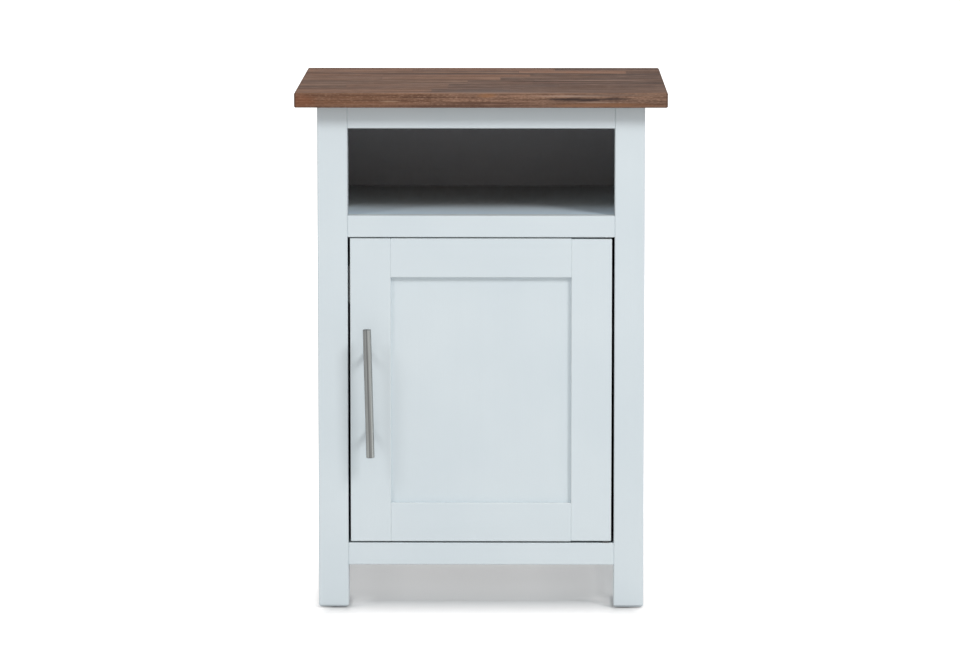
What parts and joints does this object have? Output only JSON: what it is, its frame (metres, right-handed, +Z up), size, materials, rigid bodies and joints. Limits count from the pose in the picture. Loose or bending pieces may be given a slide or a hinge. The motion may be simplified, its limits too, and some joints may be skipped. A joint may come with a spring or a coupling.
{
  "type": "nightstand",
  "caption": "Bedside cabinet on square legs with a brown wooden top, an open cubby and a white framed door with a steel bar handle.",
  "frame": {"origin": "on the floor under the middle of the whole piece, handle included", "axes": "+X to the right as seen from the front, +Y to the back, +Z up"},
  "size_m": [0.45, 0.408, 0.634],
  "materials": {
    "white_paint": "satin cool white lacquer on wood",
    "top_wood": "oiled brown laminated hardwood",
    "raw_wood": "bare planed softwood",
    "back_board": "painted thin fibreboard",
    "brushed_steel": "brushed satin",
    "pin_steel": "blackened ground steel",
    "plated_steel": "zinc plated",
    "nylon": "dark bearing nylon",
    "glide_plastic": "dark moulded nylon",
    "catch_plastic": "white moulded plastic",
    "magnet": "sintered ferrite"
  },
  "bodies": {
    "carcass": {"back_panel": "back_board", "catch_housing": "catch_plastic", "catch_magnet": "magnet", "catch_screws": "plated_steel", "cupboard_bottom": "white_paint", "foot_glides": "glide_plastic", "front_bottom_rail": "white_paint", "front_left_leg": "white_paint", "front_right_leg": "white_paint", "front_top_rail": "white_paint", "left_bottom_cleat": "white_paint", "left_shelf_cleat": "white_paint", "left_side_panel": "white_paint", "left_top_cleat": "raw_wood", "lower_pivot_pin": "pin_steel", "middle_rail": "white_paint", "rear_bottom_rail": "white_paint", "rear_left_leg": "white_paint", "rear_right_leg": "white_paint", "rear_top_rail": "white_paint", "right_bottom_cleat": "white_paint", "right_shelf_cleat": "white_paint", "right_side_panel": "white_paint", "right_top_cleat": "raw_wood", "shelf": "white_paint", "tabletop": "top_wood", "top_screws": "plated_steel", "upper_pivot_pin": "pin_steel"},
    "door": {"door_left_stile": "white_paint", "door_right_stile": "white_paint", "door_top_rail": "white_paint", "door_bottom_rail": "white_paint", "door_panel": "white_paint", "upper_pivot_bush": "nylon", "lower_pivot_bush": "nylon", "handle_bar": "brushed_steel", "handle_standoffs": "brushed_steel", "handle_screws": "plated_steel", "strike_plate": "plated_steel", "strike_screw": "plated_steel"}
  },
  "joints": [
    {"name": "door_hinge", "type": "hinge", "parent": "carcass", "child": "door", "pos_m": [0.1517, -0.164, 0.269], "axis": [0, 0, 1], "range_deg": [0, 105]}
  ]
}
